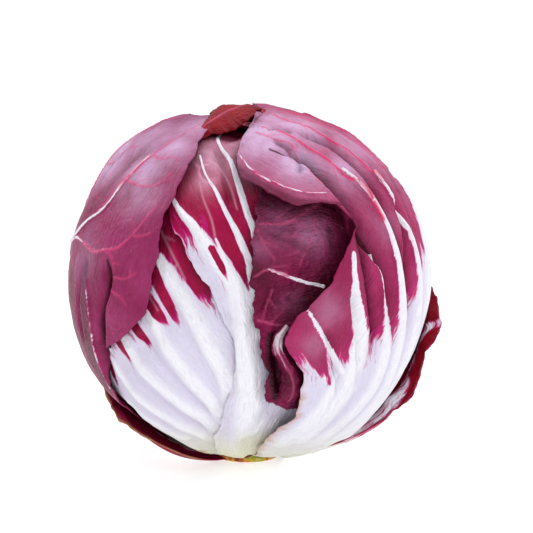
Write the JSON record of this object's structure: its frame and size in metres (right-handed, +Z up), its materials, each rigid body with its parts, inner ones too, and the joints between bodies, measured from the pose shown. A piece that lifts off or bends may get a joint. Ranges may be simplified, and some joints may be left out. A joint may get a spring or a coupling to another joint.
{
  "type": "radicchio head",
  "caption": "Round red radicchio head standing on its cut stem: overlapping white-ribbed and purple outer leaves over nested inner leaves and a heart.",
  "frame": {"origin": "centre of the cut face of the stem, where the head rests", "axes": "+Z up through the crown, -Y the side with the long white ribs, +X the side of the large pleated wrapper leaf"},
  "size_m": [0.1378, 0.1315, 0.1316],
  "materials": {
    "purple_leaf": "satin waxy leaf, purple-red with pale veins",
    "crimson_leaf": "satin waxy leaf, dark crimson with pink veins",
    "ribbed_leaf": "satin waxy leaf, white ribs and base with magenta streaks between",
    "inner_leaf": "crisp inner leaf, magenta over white ribs",
    "heart": "pale cream bud",
    "stem": "cut stem, cream to tan with brown leaf scars"
  },
  "bodies": {
    "root": {"back_right_leaf": "crimson_leaf", "back_left_leaf": "purple_leaf", "left_cap_leaf": "purple_leaf", "right_wrapper_leaf": "ribbed_leaf", "back_leaf": "ribbed_leaf", "front_dark_leaf": "crimson_leaf", "crown_leaf": "crimson_leaf", "front_centre_leaf": "ribbed_leaf", "front_left_leaf": "ribbed_leaf", "inner_leaf_01": "inner_leaf", "inner_leaf_02": "inner_leaf", "inner_leaf_03": "inner_leaf", "inner_leaf_04": "inner_leaf", "inner_leaf_05": "inner_leaf", "inner_leaf_06": "inner_leaf", "inner_leaf_07": "inner_leaf", "inner_leaf_08": "inner_leaf", "inner_leaf_09": "inner_leaf", "inner_leaf_10": "inner_leaf", "heart_bud": "heart", "stem": "stem"}
  },
  "joints": []
}
